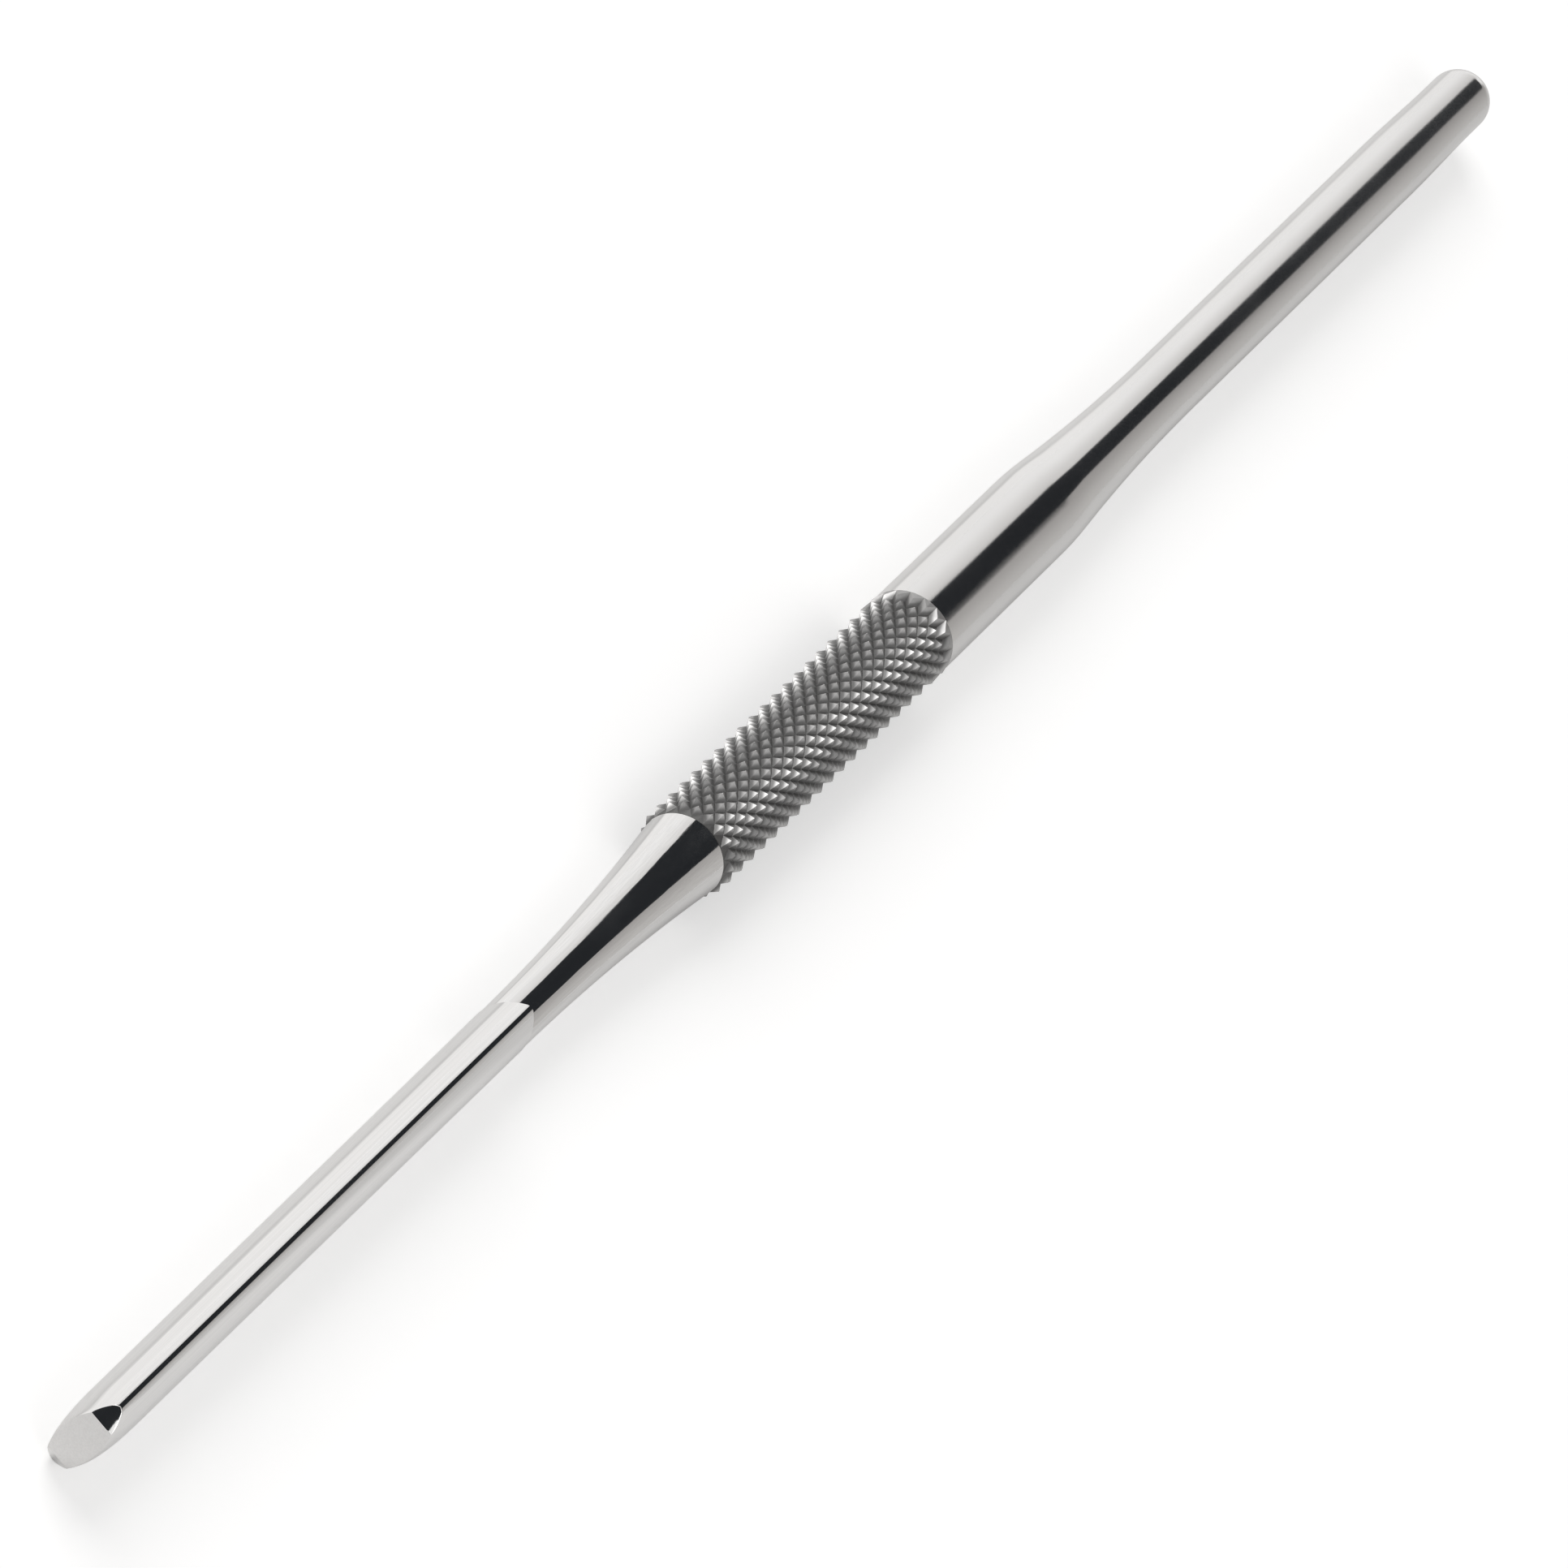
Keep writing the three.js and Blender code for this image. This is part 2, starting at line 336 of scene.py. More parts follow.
class Wire:
    """One output socket. Sums written on it become Math nodes."""

    def __init__(self, graph, socket):
        self.graph = graph
        self.socket = socket

    def maths(self, operation, *values):
        """One Math node on the values."""
        return self.graph.node("ShaderNodeMath", {"operation": operation}, dict(enumerate(values)))

    def __add__(self, other):
        return self.maths("ADD", self, other)

    __radd__ = __add__

    def __mul__(self, other):
        return self.maths("MULTIPLY", self, other)

    __rmul__ = __mul__

    def __sub__(self, other):
        return self.maths("SUBTRACT", self, other)

    def __rsub__(self, other):
        return self.maths("SUBTRACT", other, self)


class Graph:
    """The node tree of one material or of the world."""

    def __init__(self, owner):
        owner.use_nodes = True
        self.tree = owner.node_tree
        self.tree.nodes.clear()

    def node(self, kind, settings, values, output=0):
        """Adds a node and returns its output. Settings come first, then the sockets' values."""
        made = self.tree.nodes.new(kind)
        for name, setting in settings.items():
            setattr(made, name, setting)
        for key, value in values.items():
            if isinstance(value, Wire):
                self.tree.links.new(value.socket, made.inputs[key])
            else:
                made.inputs[key].default_value = value
        return Wire(self, made.outputs[output]) if len(made.outputs) else None

    def place(self):
        """Object coordinates, in metres in the row frame."""
        return self.node("ShaderNodeTexCoord", {}, {}, "Object")

    def part(self, axis):
        """One of the object coordinates: X, Y or Z."""
        return self.node("ShaderNodeSeparateXYZ", {}, {"Vector": self.place()}, axis)

    def grain(self, stretch, detail, roughness):
        """Noise with so many waves to the metre along each axis."""
        size = self.node("ShaderNodeMapping", {}, {"Vector": self.place(), "Scale": stretch})
        values = {"Vector": size, "Scale": 1.0, "Detail": detail, "Roughness": roughness}
        return self.node("ShaderNodeTexNoise", {}, values, "Fac")

    def span(self, value, low, high, to_low, to_high):
        """A smooth step from to_low at low to to_high at high."""
        values = {"Value": value, 1: low, 2: high, 3: to_low, 4: to_high}
        return self.node("ShaderNodeMapRange", {"interpolation_type": "SMOOTHSTEP"}, values)

    def blend(self, share, first, second):
        """A colour between two others."""
        values = {"Factor": share, 6: first, 7: second}
        return self.node("ShaderNodeMix", {"data_type": "RGBA"}, values, 2)

    def bump(self, height, distance):
        """A normal from a height between 0 and 1 and the depth in metres that 1 stands for."""
        values = {"Strength": 1.0, "Distance": distance, "Height": height}
        return self.node("ShaderNodeBump", {}, values)

    def seen(self, direct, mirrored):
        """direct for rays from the camera, mirrored for those that bounce off gloss or pass it."""
        camera = self.node("ShaderNodeLightPath", {}, {}, "Is Camera Ray")
        glossy = self.node("ShaderNodeLightPath", {}, {}, "Is Glossy Ray")
        passed = self.node("ShaderNodeLightPath", {}, {}, "Is Transmission Ray")
        return camera * direct + (glossy + passed) * mirrored

    def steel(self, values):
        """A metal surface, joined to the material's output."""
        surface = self.node("ShaderNodeBsdfPrincipled", {}, {"Metallic": 1.0, **values})
        self.surface(surface)

    def surface(self, shader):
        """Joins a shader to the material's output."""
        self.node("ShaderNodeOutputMaterial", {}, {"Surface": shader})


def tone(colour, share=1.0):
    """A socket's colour: three channels times share, and an alpha of 1."""
    return (*(channel * share for channel in colour), 1.0)


def polished_steel(name, colour):
    """Mirror polish with faint lines along the tool and a few soft smudges."""
    material = bpy.data.materials.new(name)
    graph = Graph(material)
    mirror_roughness = 0.045
    line_roughness = 0.03
    line_depth = 0.0012 * MM
    lines = graph.grain(stretch=(40, 9000, 9000), detail=2.0, roughness=0.6)
    smudges = graph.grain(stretch=(90, 260, 260), detail=3.0, roughness=0.55)
    haze = graph.span(smudges, 0.45, 0.75, 0.0, 0.05)
    bright = graph.span(lines, 0.3, 0.7, 0.0, 1.0)
    base = graph.blend(bright, tone(colour, 0.97), tone(colour, 1.03))
    roughness = mirror_roughness + haze + lines * line_roughness
    normal = graph.bump(lines, line_depth)
    graph.steel({"Base Color": base, "Roughness": roughness, "Normal": normal})
    return material


def turned_steel(name, colour):
    """Bright turned steel: fine rings round the handle, softer towards the tail."""
    material = bpy.data.materials.new(name)
    graph = Graph(material)
    ring_roughness = 0.03
    ring_depth = 0.0008 * MM
    rings = graph.grain(stretch=(16000, 60, 60), detail=2.0, roughness=0.5)
    smudges = graph.grain(stretch=(70, 220, 220), detail=3.0, roughness=0.6)
    haze = graph.span(smudges, 0.45, 0.8, 0.0, 0.06)
    softness = graph.span(graph.part("X"), 10 * MM, 80 * MM, 0.085, 0.155)
    base = graph.blend(smudges, tone(colour, 0.94), tone(colour, 1.05))
    roughness = softness + haze + rings * ring_roughness
    normal = graph.bump(rings, ring_depth)
    graph.steel({"Base Color": base, "Roughness": roughness, "Normal": normal})
    return material


def knurl_steel(name, colour, pit_radius, crest_radius):
    """Rolled steel, dull down in the grooves. Its colour holds painted shade: dark in the grooves
    and brighter on the crests, loosened by grime noise.
    """
    material = bpy.data.materials.new(name)
    graph = Graph(material)
    crest_roughness = 0.34
    groove_roughness = 0.48
    grime_roughness = 0.06
    grime_depth = 0.01 * MM
    # Painted shade: the grooves get a darker copy of the steel's colour than the crests
    shaded_groove_tone = tone(colour, 0.19)
    crest_tone = tone(colour, 0.48)
    centre = {"Vector": graph.place(), "Location": (0, 0, -AXIS_HEIGHT), "Scale": (0, 1, 1)}
    across = graph.node("ShaderNodeMapping", {}, centre)
    length = graph.node("ShaderNodeVectorMath", {"operation": "LENGTH"}, {0: across}, "Value")
    height = graph.span(length, pit_radius, crest_radius, 0.0, 1.0)
    grime = graph.grain(stretch=(1500, 1500, 1500), detail=3.0, roughness=0.6)
    # Painted shade in the grooves by depth, mixed with grime noise. The same share makes the crests
    # smoother.
    groove_shade_and_grime = graph.span(height + (grime - 0.5) * 0.35, 0.05, 0.85, 0.0, 1.0)
    base = graph.blend(groove_shade_and_grime, shaded_groove_tone, crest_tone)
    crest_smoothing = groove_shade_and_grime * (groove_roughness - crest_roughness)
    roughness = groove_roughness - crest_smoothing + grime * grime_roughness
    normal = graph.bump(grime, grime_depth)
    graph.steel({"Base Color": base, "Roughness": roughness, "Normal": normal})
    return material


def floor_surface(colour):
    """Matt and pale. A little glow brings it to white for the camera. In what the steel mirrors it
    glows less, and least next to the tool, as in the tool's shade."""
    material = bpy.data.materials.new("pale_floor")
    graph = Graph(material)
    matt = graph.node("ShaderNodeBsdfDiffuse", {}, {"Color": tone(colour)})
    along = graph.part("X")
    across = graph.part("Y")
    ground = graph.span(across, *FAR_GLOW) + graph.span(across, *NEAR_GLOW)
    handle_shade = graph.span(along, *HANDLE_SHADE) * graph.span(across, *HANDLE_SHADE_SIDE)
    mirrored = ground - handle_shade - graph.span(along, *TIP_SHADE)
    glow = {"Color": (1, 1, 1, 1), "Strength": graph.seen(CAMERA_GLOW, mirrored)}
    lit = graph.node("ShaderNodeEmission", {}, glow)
    graph.surface(graph.node("ShaderNodeAddShader", {}, {0: matt, 1: lit}))
    return material


def card_light(graph, colour):
    """Ends a card's material in light of its own."""
    graph.surface(graph.node("ShaderNodeEmission", {}, {"Color": colour, "Strength": 1.0}))


def plain_card(name, colour):
    """A card of one tone."""
    material = bpy.data.materials.new(name)
    card_light(Graph(material), tone(colour))
    return material


def toned_card(name, tones, turn):
    """A card that goes from one tone to another with the angle from upright on the -Y side."""
    material = bpy.data.materials.new(name)
    graph = Graph(material)
    across = graph.part("Y") * -1
    angle = across.maths("ARCTAN2", across, graph.part("Z"))
    first, last = turn
    share = graph.span(angle, math.radians(first), math.radians(last), 0.0, 1.0)
    near, far = tones
    card_light(graph, graph.blend(share, tone(near), tone(far)))
    return material


def finish_piece(bm, name, material, node, smooth=True):
    """Makes the bmesh a piece that has its steel, rides on the body and stands for its CAD node."""
    bmesh.ops.remove_doubles(bm, verts=bm.verts, dist=MERGE_DISTANCE)
    bmesh.ops.recalc_face_normals(bm, faces=bm.faces)
    for face in bm.faces:
        face.smooth = smooth
    for edge in bm.edges:
        if len(edge.link_faces) == 2 and edge.calc_face_angle() > SHARP_ANGLE:
            edge.smooth = False
    mesh = bpy.data.meshes.new(name)
    bm.to_mesh(mesh)
    bm.free()
    mesh.materials.append(material)
    piece = bpy.data.objects.new(name, mesh)
    bpy.context.scene.collection.objects.link(piece)
    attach(piece, "root")
    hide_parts(node)


def spun(profile, steps):
    """A bmesh of a profile turned full circle about the tool's axis. Its points are (x, radius)."""
    bm = bmesh.new()
    verts = [bm.verts.new((x, 0, AXIS_HEIGHT + radius)) for x, radius in profile]
    edges = [bm.edges.new(pair) for pair in zip(verts, verts[1:])]
    bmesh.ops.spin(
        bm,
        geom=verts + edges,
        cent=(0, 0, AXIS_HEIGHT),
        axis=(1, 0, 0),
        angle=2 * math.pi,
        steps=steps,
        use_merge=True,
    )
    return bm


def lens_quarter(half_width, half_thickness, edge_radius):
    """From the middle of an edge to the middle of a face: a small arc that runs into a large one."""
    edge = min(edge_radius, half_thickness * EDGE_LIMIT)
    edge_centre = half_width - edge
    face = (edge_centre**2 + half_thickness**2 - edge**2) / (2 * (half_thickness - edge))
    face_centre = half_thickness - face
    turn = math.atan2(-face_centre, edge_centre)
    points = []
    for i in range(LENS_EDGE_STEPS):
        angle = turn * i / LENS_EDGE_STEPS
        points.append((edge * math.sin(angle), edge_centre + edge * math.cos(angle)))
    for i in range(LENS_FACE_STEPS + 1):
        angle = turn + (math.pi / 2 - turn) * i / LENS_FACE_STEPS
        points.append((face_centre + face * math.sin(angle), face * math.cos(angle)))
    return points


def lens_outline(width, thickness, edge_radius):
    """The blade's whole section as (y, z) about its middle, by mirroring a quarter of it."""
    quarter = lens_quarter(width / 2, thickness / 2, edge_radius)
    half = quarter + [(y, -z) for y, z in reversed(quarter[1:-1])]
    return half + [(-y, -z) for y, z in half]


def blade_thickness(sizes, distance):
    """Drawn in along a quarter of an ellipse near the tip, then growing evenly to the shoulder."""
    if distance < sizes.draw_in:
        rise = math.sqrt(1 - (1 - distance / sizes.draw_in) ** 2)
        return sizes.tip_thickness + (sizes.front_thickness - sizes.tip_thickness) * rise
    share = (distance - sizes.draw_in) / (sizes.length - sizes.draw_in)
    return sizes.front_thickness + (sizes.root_thickness - sizes.front_thickness) * share


def blade_stations(sizes):
    """Distances behind the tip at which the blade's section is set, closest where it rounds in."""
    stations = []
    for i in range(1, DRAW_IN_STEPS + 1):
        stations.append(sizes.draw_in * (1 - math.cos(math.pi / 2 * i / DRAW_IN_STEPS)))
    shoulder = sizes.length - REAR_BREAK
    for i in range(1, BLADE_STEPS + 1):
        stations.append(sizes.draw_in + (shoulder - sizes.draw_in) * i / BLADE_STEPS)
    return stations


def extend_ring(bm, edges, x):
    """Draws an open ring out to x and returns the new ring's edges."""
    made = bmesh.ops.extrude_edge_only(bm, edges=edges)["geom"]
    verts = [item for item in made if isinstance(item, bmesh.types.BMVert)]
    for vert in verts:
        vert.co.x = x
    return [item for item in made if isinstance(item, bmesh.types.BMEdge)]


def reshape(edges, width, thickness, edge_radius):
    """Moves each vertex of a ring to its own place on a new outline."""
    outline = lens_outline(width, thickness, edge_radius)
    verts = list({vert for edge in edges for vert in edge.verts})
    verts.sort(key=lambda vert: math.atan2(vert.co.y, vert.co.z - AXIS_HEIGHT) % (2 * math.pi))
    places = sorted(outline, key=lambda point: math.atan2(point[0], point[1]) % (2 * math.pi))
    for vert, (y, z) in zip(verts, places):
        vert.co.y = y
        vert.co.z = AXIS_HEIGHT + z


def grind_corner(bm, sizes, side):
    """Cuts one corner off the tip with a plane. side is 1 at the upper edge, -1 at the lower."""
    run = (sizes.width - sizes.tip_width) / 2
    cut = bmesh.ops.bisect_plane(
        bm,
        geom=bm.verts[:] + bm.edges[:] + bm.faces[:],
        plane_co=(TIP_X, 0, AXIS_HEIGHT + side * sizes.tip_width / 2),
        plane_no=(-run, 0, side * sizes.corner_depth),
        clear_outer=True,
    )
    rim = [item for item in cut["geom_cut"] if isinstance(item, bmesh.types.BMEdge)]
    bmesh.ops.contextual_create(bm, geom=rim)


def make_blade(sizes):
    """The blade: its section drawn out from the tip, both ends closed, the corners ground off."""
    bm = bmesh.new()
    ring = []
    for y, z in lens_outline(sizes.width, sizes.tip_thickness, sizes.edge_radius):
        ring.append(bm.verts.new((TIP_X, y, AXIS_HEIGHT + z)))
    edges = [bm.edges.new((a, b)) for a, b in zip(ring, ring[1:] + ring[:1])]
    bmesh.ops.contextual_create(bm, geom=edges)
    for distance in blade_stations(sizes):
        edges = extend_ring(bm, edges, TIP_X + distance)
        reshape(edges, sizes.width, blade_thickness(sizes, distance), sizes.edge_radius)
    edges = extend_ring(bm, edges, TIP_X + sizes.length)
    inset = 2 * REAR_BREAK
    reshape(edges, sizes.width - inset, sizes.root_thickness - inset, sizes.edge_radius)
    bmesh.ops.contextual_create(bm, geom=edges)
    grind_corner(bm, sizes, 1)
    grind_corner(bm, sizes, -1)
    tip_edges = []
    reach = TIP_X + sizes.corner_depth + TIP_BREAK_REACH
    for edge in bm.edges:
        near_tip = min(vert.co.x for vert in edge.verts) < reach
        if near_tip and len(edge.link_faces) == 2 and edge.calc_face_angle() > TIP_SHARP_ANGLE:
            tip_edges.append(edge)
    bmesh.ops.bevel(
        bm,
        geom=tip_edges,
        offset=TIP_BREAK,
        offset_type="OFFSET",
        affect="EDGES",
        segments=2,
        profile=0.5,
        material=-1,
        clamp_overlap=True,
    )
    return bm


def make_neck(sizes, handle):
    """The neck: a long hollow flare from the blade to the root of the knurl."""
    start = TIP_X + sizes.length
    length = GRIP_X - start
    low = sizes.neck_diameter / 2
    rise = handle.grip_diameter / 2 - handle.knurl_depth - low
    arc = (length**2 + rise**2) / (2 * rise)
    turn = math.asin(length / arc)
    profile = [(start - NECK_OVERLAP, 0), (start - NECK_OVERLAP, low), (start, low)]
    for i in range(1, NECK_STEPS):
        angle = turn * i / NECK_STEPS
        profile.append((start + arc * math.sin(angle), low + arc * (1 - math.cos(angle))))
    high = low + rise
    profile += [(GRIP_X - SEAM_BREAK, high - SEAM_FALL), (GRIP_X, high - SEAM_BREAK), (GRIP_X, 0)]
    return spun(profile, NECK_ROUND_STEPS)


def make_grip(sizes):
    """The grip: a tube whose vertices are crests and pits by turns, with worn crests."""
    steps = 2 * sizes.starts
    rows = 2 * sizes.pitches
    half_pitch = sizes.pitch / 2
    crest = sizes.grip_diameter / 2
    pit = crest - sizes.knurl_depth
    bm = bmesh.new()
    across = Matrix.Rotation(math.radians(90), 4, "Y")
    half_step = Matrix.Rotation(math.pi / steps, 4, "X")
    placed = Matrix.Translation((GRIP_X, 0, AXIS_HEIGHT)) @ half_step @ across
    bmesh.ops.create_circle(bm, cap_ends=False, radius=pit, segments=steps, matrix=placed)
    front = bm.edges[:]
    edges = front
    for row in range(1, rows + 1):
        edges = extend_ring(bm, edges, GRIP_X + row * half_pitch)
    crests = []
    for vert in bm.verts:
        row = round((vert.co.x - GRIP_X) / half_pitch)
        away = Vector((0, vert.co.y, vert.co.z - AXIS_HEIGHT))
        step = math.floor(math.atan2(away.z, away.y) / (2 * math.pi) * steps)
        # The last row meets the collar. Between the ends, each second vertex of a row is a crest.
        radius = pit
        if row == rows:
            radius = sizes.collar_diameter / 2
        elif row > 0 and (row + step) % 2 == 1:
            radius = crest
            crests.append(vert)
        vert.co = Vector((vert.co.x, 0, AXIS_HEIGHT)) + away.normalized() * radius
    bmesh.ops.contextual_create(bm, geom=edges)
    bmesh.ops.contextual_create(bm, geom=front)
    sides = [face for face in bm.faces if len(face.verts) == 4]
    bmesh.ops.triangulate(bm, faces=sides, quad_method="SHORT_EDGE", ngon_method="BEAUTY")
    bmesh.ops.bevel(
        bm,
        geom=crests,
        offset=CREST_FLAT,
        offset_type="OFFSET",
        affect="VERTICES",
        segments=1,
        profile=0.5,
        material=-1,
        clamp_overlap=True,
    )
    return bm


def make_shaft(sizes):
    """The plain handle: collar, two-arc taper, slim tail and round end."""
    start = GRIP_X + sizes.pitch * sizes.pitches
    taper = start + sizes.collar_length
    tail = taper + sizes.taper_length
    wide = sizes.collar_diameter / 2
    slim = sizes.tail_diameter / 2
    # The two arcs meet at one slope, which fixes their turn and the sum of their radii.
    turn = 2 * math.atan((wide - slim) / sizes.taper_length)
    radii = sizes.taper_length / math.sin(turn)
    crown = min(TAPER_CROWN_RADIUS, radii / 2)
    hollow = radii - crown
    profile = [(start, 0), (start, wide)]
    for i in range(TAPER_ARC_STEPS + 1):
        angle = turn * i / TAPER_ARC_STEPS
        profile.append((taper + crown * math.sin(angle), wide - crown * (1 - math.cos(angle))))
    for i in reversed(range(TAPER_ARC_STEPS)):
        angle = turn * i / TAPER_ARC_STEPS
        profile.append((tail - hollow * math.sin(angle), slim + hollow * (1 - math.cos(angle))))
    end = sizes.tail_end_diameter / 2
    for i in range(EASE_STEPS + 1):
        eased = (1 - math.cos(math.pi * i / EASE_STEPS)) / 2
        place = tail + TAIL_EASE_START + TAIL_EASE_LENGTH * i / EASE_STEPS
        profile.append((place, slim + (end - slim) * eased))
    for i in range(END_STEPS):
        angle = math.pi / 2 * i / END_STEPS
        profile.append((END_X - end * (1 - math.sin(angle)), end * math.cos(angle)))
    profile.append((END_X, 0))
    return spun(profile, SHAFT_ROUND_STEPS)


class SPATULA_OT_blade(bpy.types.Operator):
    """Make the blade and its neck"""

    bl_idname = "spatula.blade"
    bl_label = "Blade and neck"

    def execute(self, context):
        sizes = context.scene.spatula_blade
        steel = polished_steel("polished_blade_steel", sizes.steel)
        node = "blade_and_neck"
        finish_piece(make_blade(sizes), "blade", steel, node)
        neck = make_neck(sizes, context.scene.spatula_handle)
        finish_piece(neck, "neck", steel, node)
        return {"FINISHED"}


class SPATULA_OT_grip(bpy.types.Operator):
    """Make the knurled grip"""

    bl_idname = "spatula.grip"
    bl_label = "Knurled grip"

    def execute(self, context):
        sizes = context.scene.spatula_handle
        crest = sizes.grip_diameter / 2
        steel = knurl_steel("rolled_grip_steel", sizes.steel, crest - sizes.knurl_depth, crest)
        node = "knurled_handle"
        grip = make_grip(sizes)
        finish_piece(grip, "knurled_grip", steel, node, smooth=False)
        return {"FINISHED"}


class SPATULA_OT_shaft(bpy.types.Operator):
    """Make the plain handle behind the grip"""

    bl_idname = "spatula.shaft"
    bl_label = "Plain handle"

    def execute(self, context):
        sizes = context.scene.spatula_handle
        steel = turned_steel("turned_handle_steel", sizes.steel)
        node = "knurled_handle"
        finish_piece(make_shaft(sizes), "handle_shaft", steel, node)
        return {"FINISHED"}


def stage_sheet(name, corners, material):
    """A flat stage piece through its corners."""
    bm = bmesh.new()
    bm.faces.new([bm.verts.new(corner) for corner in corners])
    mesh = bpy.data.meshes.new(name)
    bm.to_mesh(mesh)
    bm.free()
    mesh.materials.append(material)
    sheet = bpy.data.objects.new(name, mesh)
    bpy.context.scene.collection.objects.link(sheet)
    return sheet


def fan(x, spokes):
    """Corners of a card at x, across the tool's axis, from its spokes."""
    first = [(radius, start) for radius, start, end in spokes]
    last = [(radius, end) for radius, start, end in reversed(spokes)]
    corners = []
    for radius, angle in first + last:
        turn = math.radians(angle)
        corners.append((x, -radius * math.sin(turn), radius * math.cos(turn)))
    return corners


def rectangle(middle, across, rise):
    """Corners of a card from its middle, half its width and half its height."""
    low = (middle - across - rise, middle + across - rise)
    high = (middle + across + rise, middle - across + rise)
    return low + high


def make_cards(stage):
    """Cards out of the camera's sight. The dark card gives the round steel its dark band, the grey
    and the soft one the tones on both sides of it, and the front card darkens the tip's ground
    corner. The back and the top card give contrast from other sides than the photograph's."""
    dark = plain_card("dark_card", stage.card)
    grey = toned_card("grey_card", GREY_TONES, GREY_TURN)
    soft = toned_card("soft_card", SOFT_TONES, SOFT_TURN)
    near, far = TOP_CARD_SIDES
    above = rectangle(
        Vector((0, (near + far) / 2, TOP_CARD_HEIGHT)),
        Vector((TOP_CARD_HALF, 0, 0)),
        Vector((0, (far - near) / 2, 0)),
    )
    before = rectangle(FRONT_CARD_MIDDLE, FRONT_CARD_ACROSS, FRONT_CARD_RISE)
    cards = (
        stage_sheet("dark_card", fan(DARK_CARD_X, DARK_SPOKES), dark),
        stage_sheet("grey_card", fan(TONED_CARD_X, GREY_SPOKES), grey),
        stage_sheet("soft_card", fan(TONED_CARD_X, SOFT_SPOKES), soft),
        stage_sheet("back_card", fan(BACK_CARD_X, BACK_SPOKES), dark),
        stage_sheet("top_card", above, dark),
        stage_sheet("front_card", before, dark),
    )
    for card in cards:
        card.visible_camera = False
        card.visible_diffuse = False
        card.visible_shadow = False


def make_floor(stage):
    """The pale ground that the tool lies on."""
    corners = rectangle(Vector(), Vector((FLOOR_REACH, 0, 0)), Vector((0, FLOOR_REACH, 0)))
    stage_sheet("floor", corners, floor_surface(stage.floor))


def make_world():
    """White air, brighter to the camera and in the steel than it lights matt things."""
    world = bpy.data.worlds.new("studio_air")
    bpy.context.scene.world = world
    graph = Graph(world)
    strength = AIR_LIGHT + graph.seen(AIR_SEEN, AIR_SEEN)
    values = {"Color": (1, 1, 1, 1), "Strength": strength}
    air = graph.node("ShaderNodeBackground", {}, values)
    graph.node("ShaderNodeOutputWorld", {}, {"Surface": air})


def make_lamp(name, place, size, power):
    """A square soft lamp that looks at the middle of the tool."""
    data = bpy.data.lights.new(name, "AREA")
    data.shape = "SQUARE"
    data.size = size
    data.energy = power
    lamp = bpy.data.objects.new(name, data)
    spot = Vector(place)
    turned = spot.to_track_quat("Z", "Y").to_matrix().to_4x4()
    lamp.matrix_world = Matrix.Translation(spot) @ turned
    lamp.visible_camera = False
    bpy.context.scene.collection.objects.link(lamp)


def make_camera():
    """The photograph's view: from the tip's side, rolled so that the tool lies corner wise."""
    tool = Vector((1, 0, 0))
    along = (tool - TO_CAMERA * tool.dot(TO_CAMERA)).normalized()
    side = TO_CAMERA.cross(along)
    right = math.cos(CAMERA_ROLL) * along - math.sin(CAMERA_ROLL) * side
    rise = math.sin(CAMERA_ROLL) * along + math.cos(CAMERA_ROLL) * side
    shift_right, shift_up = CAMERA_SHIFT
    target = LOOKED_AT + right * shift_right + rise * shift_up
    data = bpy.data.cameras.new("camera")
    data.sensor_width = SENSOR_WIDTH
    data.lens = CAMERA_LENS
    data.clip_end = CAMERA_REACH
    camera = bpy.data.objects.new("camera", data)
    turned = Matrix((right, rise, TO_CAMERA)).transposed().to_4x4()
    camera.matrix_world = Matrix.Translation(target + TO_CAMERA * CAMERA_DISTANCE) @ turned
    bpy.context.scene.collection.objects.link(camera)
    bpy.context.scene.camera = camera


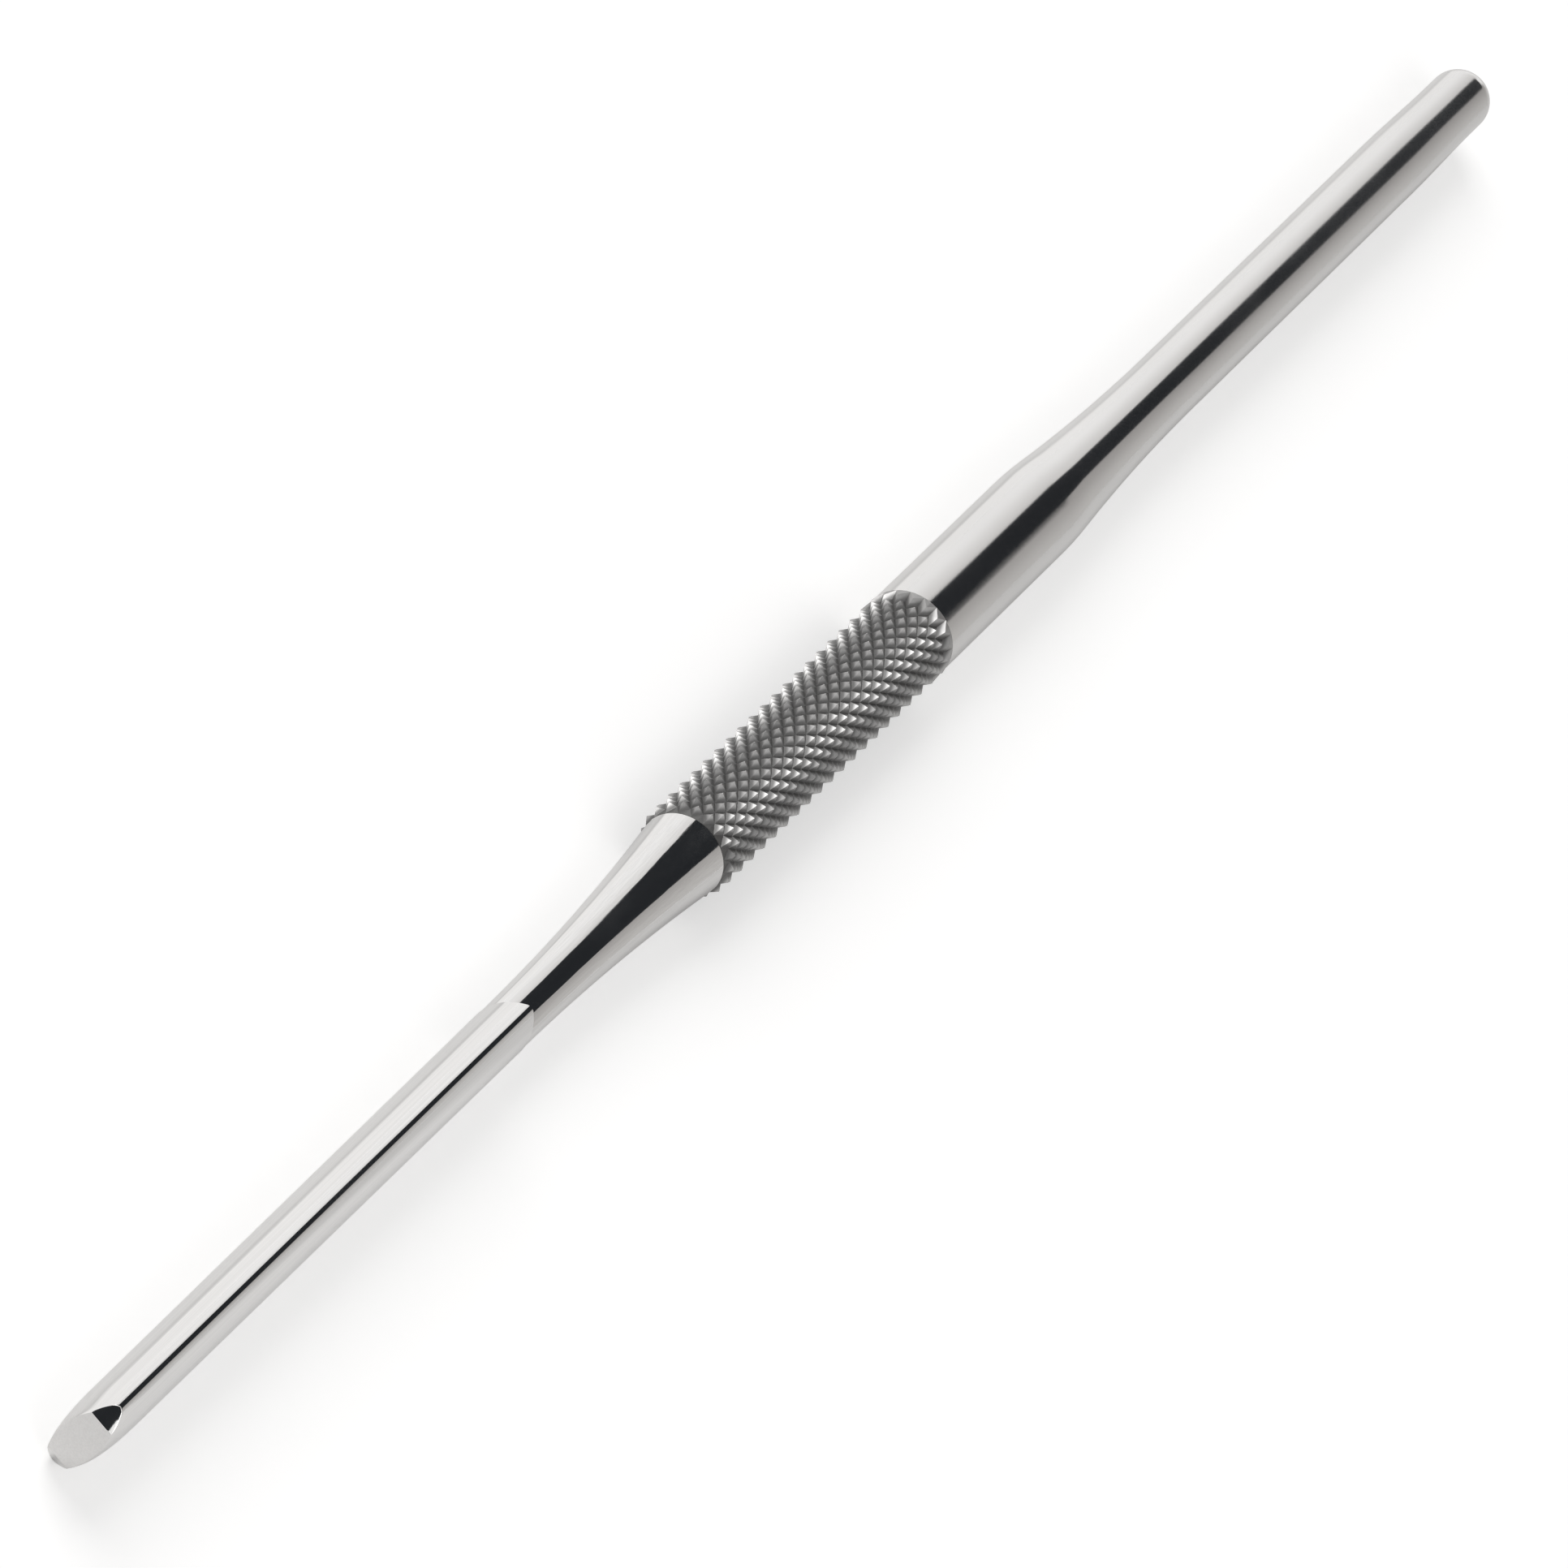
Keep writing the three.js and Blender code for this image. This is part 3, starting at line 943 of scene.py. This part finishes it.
class SPATULA_OT_stage(bpy.types.Operator):
    """Make the floor, cards, lamps, world and camera"""

    bl_idname = "spatula.stage"
    bl_label = "Stage"

    def execute(self, context):
        stage = context.scene.spatula_stage
        make_camera()
        make_floor(stage)
        make_cards(stage)
        make_world()
        make_lamp("key_lamp", place=(0.3, 0.9, 0.9), size=0.9, power=stage.key_power)
        make_lamp("fill_lamp", place=(-0.6, -0.6, 1.0), size=0.8, power=stage.fill_power)
        context.scene.view_settings.view_transform = "Standard"
        return {"FINISHED"}


class SPATULA_PT_pieces(bpy.types.Panel):
    """Sizes of the tool and its stage, and a button for each operator."""

    bl_label = "Cement spatula"
    bl_idname = "SPATULA_PT_pieces"
    bl_space_type = "VIEW_3D"
    bl_region_type = "UI"
    bl_category = "Spatula"

    def draw(self, context):
        scene = context.scene
        for group in (scene.spatula_blade, scene.spatula_handle, scene.spatula_stage):
            for name in group.bl_rna.properties.keys():
                if name not in {"rna_type", "name"}:
                    self.layout.prop(group, name)
        for operator in OPERATORS:
            self.layout.operator(operator.bl_idname)


OPERATORS = (SPATULA_OT_stage, SPATULA_OT_blade, SPATULA_OT_grip, SPATULA_OT_shaft)
GROUPS = {"spatula_blade": BladeSizes, "spatula_handle": HandleSizes, "spatula_stage": StageSizes}


def register():
    """Makes the classes known to Blender and gives each scene its sizes."""
    for group in GROUPS.values():
        bpy.utils.register_class(group)
    for operator in OPERATORS:
        bpy.utils.register_class(operator)
    bpy.utils.register_class(SPATULA_PT_pieces)
    for name, group in GROUPS.items():
        setattr(bpy.types.Scene, name, bpy.props.PointerProperty(type=group))


def unregister():
    """Takes the sizes and the classes out again."""
    for name in GROUPS:
        delattr(bpy.types.Scene, name)
    bpy.utils.unregister_class(SPATULA_PT_pieces)
    for operator in reversed(OPERATORS):
        bpy.utils.unregister_class(operator)
    for group in reversed(GROUPS.values()):
        bpy.utils.unregister_class(group)


def main():
    """Makes the stage and all pieces."""
    register()
    bpy.ops.spatula.stage()
    bpy.ops.spatula.blade()
    bpy.ops.spatula.grip()
    bpy.ops.spatula.shaft()


if __name__ == "__main__":
    main()
